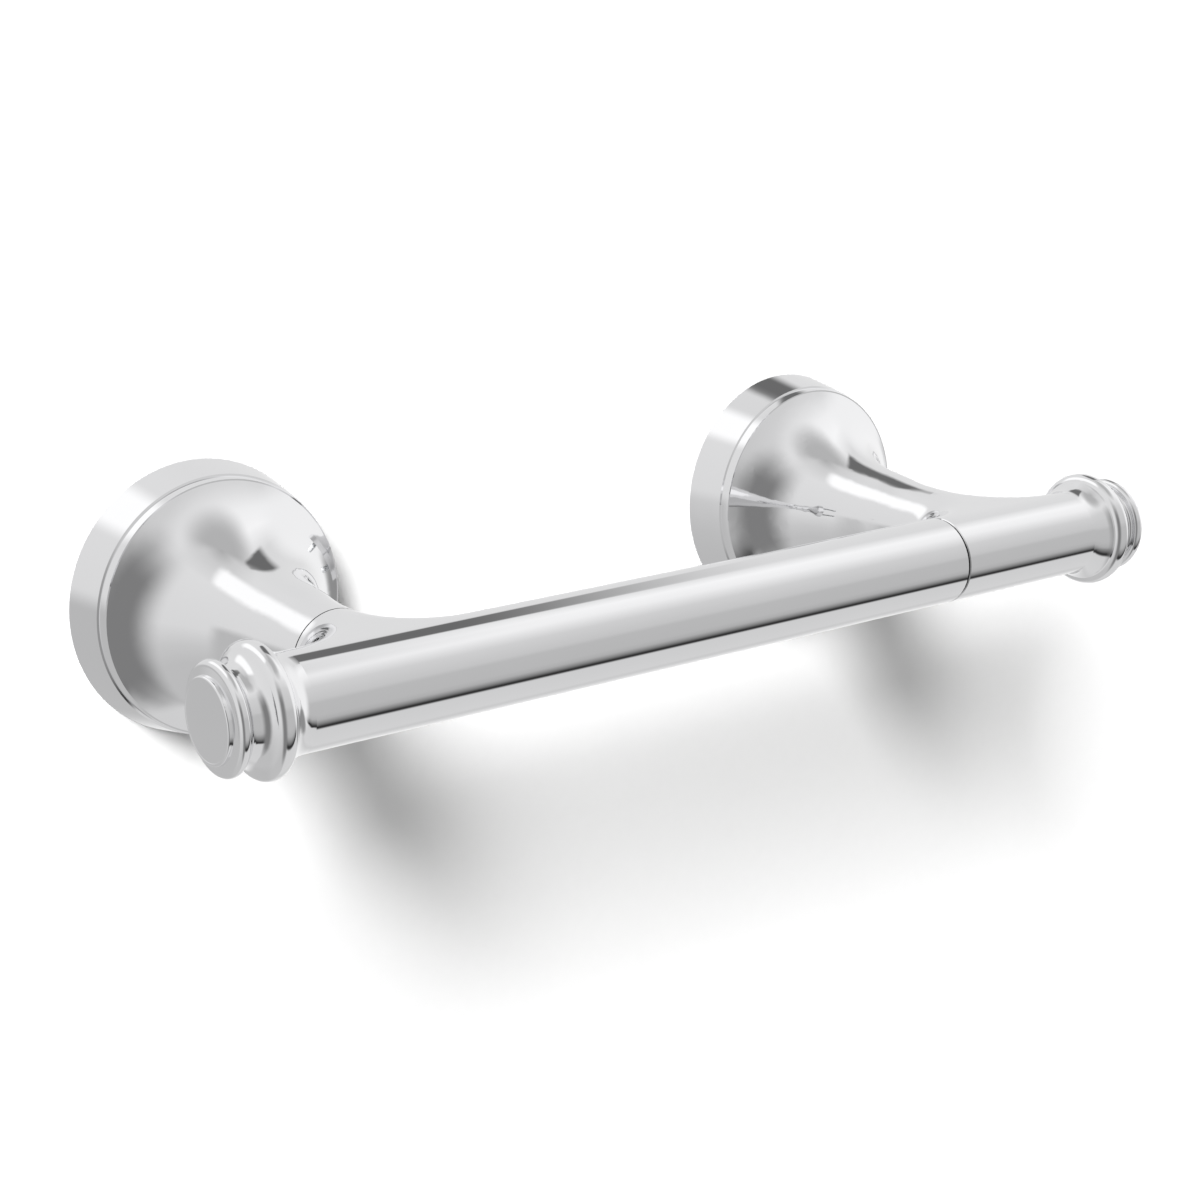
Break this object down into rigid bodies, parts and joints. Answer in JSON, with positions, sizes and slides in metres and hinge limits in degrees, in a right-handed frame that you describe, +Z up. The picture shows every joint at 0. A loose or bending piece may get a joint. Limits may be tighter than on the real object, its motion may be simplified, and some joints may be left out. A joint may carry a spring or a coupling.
{
  "type": "toilet paper holder",
  "caption": "Wall-mounted toilet paper holder in polished chrome: bell-shaped posts carry a round bar with ringed finials, and the bar pivots upward from the left post.",
  "frame": {"origin": "on the wall face, midway between the two posts, at the height of the bar, which is the centre of the four wall fixings", "axes": "+X along the bar, to the right for someone facing the wall; +Y into the wall, so the holder stands out towards -Y; +Z up"},
  "size_m": [0.24, 0.1199, 0.0584],
  "materials": {
    "chrome_posts": "polished chrome plate",
    "chrome_arm": "polished chrome plate",
    "chrome_caps": "polished chrome plate",
    "zinc_plated_bracket": "bright zinc plate",
    "screw_steel": "zinc plated, slightly dull",
    "black_oxide_steel": "black oxide",
    "stainless_pin": "ground stainless",
    "white_nylon": "moulded nylon",
    "grey_anchor_nylon": "moulded nylon"
  },
  "bodies": {
    "posts": {"left_post": "chrome_posts", "right_post": "chrome_posts", "right_finial_cap": "chrome_caps", "rest_pin": "stainless_pin", "pivot_front_bushing": "white_nylon", "pivot_rear_bushing": "white_nylon", "pivot_spring_washer": "stainless_pin", "left_wall_bracket": "zinc_plated_bracket", "right_wall_bracket": "zinc_plated_bracket", "left_bracket_screws": "screw_steel", "right_bracket_screws": "screw_steel", "left_wall_anchors": "grey_anchor_nylon", "right_wall_anchors": "grey_anchor_nylon", "left_set_screw": "black_oxide_steel", "right_set_screw": "black_oxide_steel"},
    "arm": {"pivot_arm": "chrome_arm", "left_finial_cap": "chrome_caps", "arm_end_plug": "white_nylon", "pivot_bolt": "black_oxide_steel", "pivot_washer": "screw_steel", "stop_pin": "stainless_pin"}
  },
  "joints": [
    {"name": "arm_pivot", "type": "hinge", "parent": "posts", "child": "arm", "pos_m": [-0.0815, -0.0555, 0], "axis": [0, -1, 0], "range_deg": [0, 90]}
  ]
}
